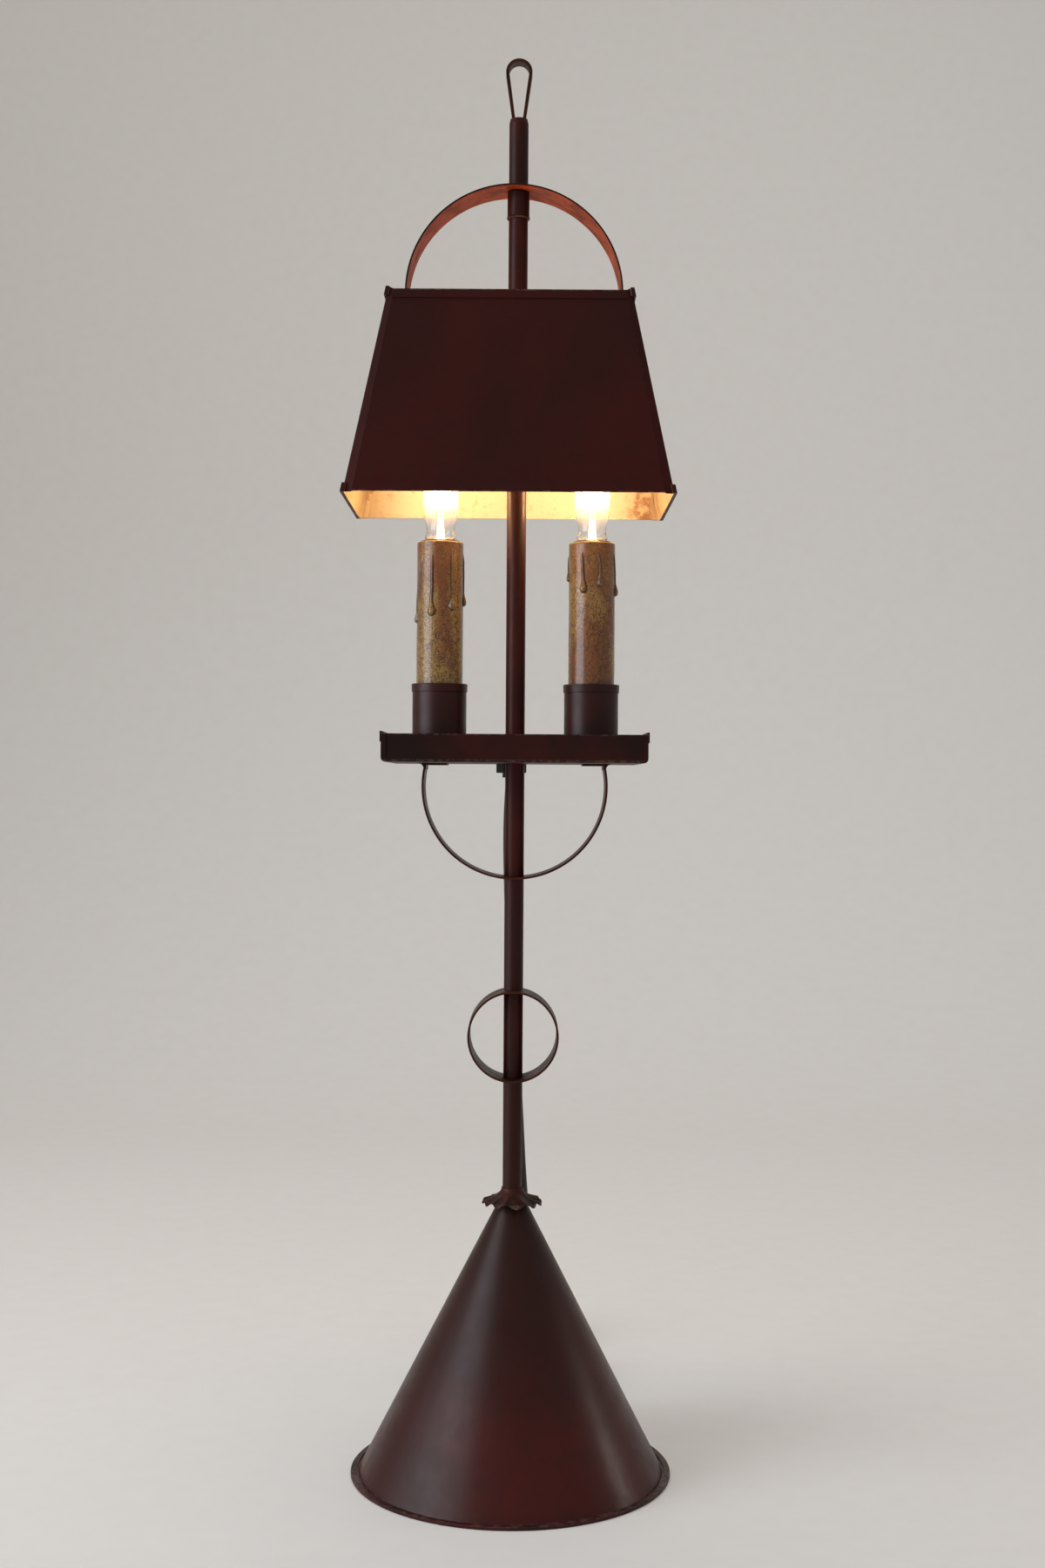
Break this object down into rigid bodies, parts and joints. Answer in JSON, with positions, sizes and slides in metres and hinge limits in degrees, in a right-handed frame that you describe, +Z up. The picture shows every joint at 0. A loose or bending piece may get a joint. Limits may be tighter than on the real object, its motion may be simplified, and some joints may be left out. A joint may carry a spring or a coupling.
{
  "type": "bouillotte lamp",
  "caption": "Table lamp with a cone foot, slim stem, candle tray and an adjustable rectangular tin shade hung from a half-round bail.",
  "frame": {"origin": "on the stem's axis, on the flat underside of the base", "axes": "+Z up along the stem, front towards -Y, the candles stand along X"},
  "size_m": [0.1769, 0.3704, 0.762],
  "materials": {
    "painted_tin": "oxide-red paint with a dark brown glaze, satin, edges worn",
    "shade_tin": "dark reddish-brown paint outside, satin; bare warm tin inside",
    "cast_iron": "rough casting",
    "plain_steel": "zinc plated",
    "black_steel": "blackened",
    "candle_resin": "mottled ochre resin with brown stain",
    "black_moulding": "moulded",
    "brass": "bright",
    "clear_glass": "clear",
    "lit_filament": "glass stem with lead wires and a lit filament",
    "wire_cover": "wire insulation",
    "cord_cover": "dark brown vinyl"
  },
  "bodies": {
    "stand": {"base_cone": "painted_tin", "base_plate": "painted_tin", "base_weight": "cast_iron", "stem_lower_nut": "plain_steel", "stem_upper_nut": "plain_steel", "crimped_collar": "painted_tin", "stem_tube": "painted_tin", "stem_top_loop": "painted_tin", "stem_ring": "painted_tin", "tray_brace": "painted_tin", "tray_pan": "painted_tin", "tray_deck": "painted_tin", "cord_pipe": "black_steel", "cord_lower_nut": "black_steel", "cord_upper_nut": "plain_steel", "cord_leads": "wire_cover", "splices": "wire_cover", "lamp_cord": "cord_cover", "cord_tail": "cord_cover", "plug_lead": "cord_cover", "cord_coil": "cord_cover", "switch_body": "black_moulding", "plug_body": "black_moulding", "plug_blades": "brass", "candle_cup_left": "painted_tin", "candle_cup_right": "painted_tin", "candle_sleeve_left": "candle_resin", "candle_sleeve_right": "candle_resin", "cup_pipe_left": "plain_steel", "cup_pipe_right": "plain_steel", "cup_nuts_left": "plain_steel", "cup_nuts_right": "plain_steel", "socket_bracket_left": "plain_steel", "socket_bracket_right": "plain_steel", "socket_body_left": "black_moulding", "socket_body_right": "black_moulding", "socket_shell_left": "brass", "socket_shell_right": "brass", "socket_contact_left": "brass", "socket_contact_right": "brass", "socket_leads_left": "wire_cover", "socket_leads_right": "wire_cover", "bulb_base_left": "brass", "bulb_base_right": "brass", "bulb_glass_left": "clear_glass", "bulb_glass_right": "clear_glass", "bulb_mount_left": "lit_filament", "bulb_mount_right": "lit_filament"},
    "shade_slide": {"slide_sleeve": "painted_tin"},
    "shade": {"shade_bail": "shade_tin", "shade_front": "shade_tin", "shade_back": "shade_tin", "shade_end_left": "shade_tin", "shade_end_right": "shade_tin"},
    "switch_wheel": {"switch_wheel": "black_moulding"}
  },
  "joints": [
    {"name": "shade_height", "type": "slide", "parent": "stand", "child": "shade_slide", "axis": [0, 0, 1], "range_m": [-0.09, 0.033]},
    {"name": "shade_turn", "type": "hinge", "parent": "shade_slide", "child": "shade", "pos_m": [0, 0, 0.69], "axis": [0, 0, 1], "range_deg": [-25, 25]},
    {"name": "switch_turn", "type": "hinge", "parent": "stand", "child": "switch_wheel", "pos_m": [0.0336, 0.153, 0.0063], "axis": [0, 0, 1], "continuous": true}
  ]
}
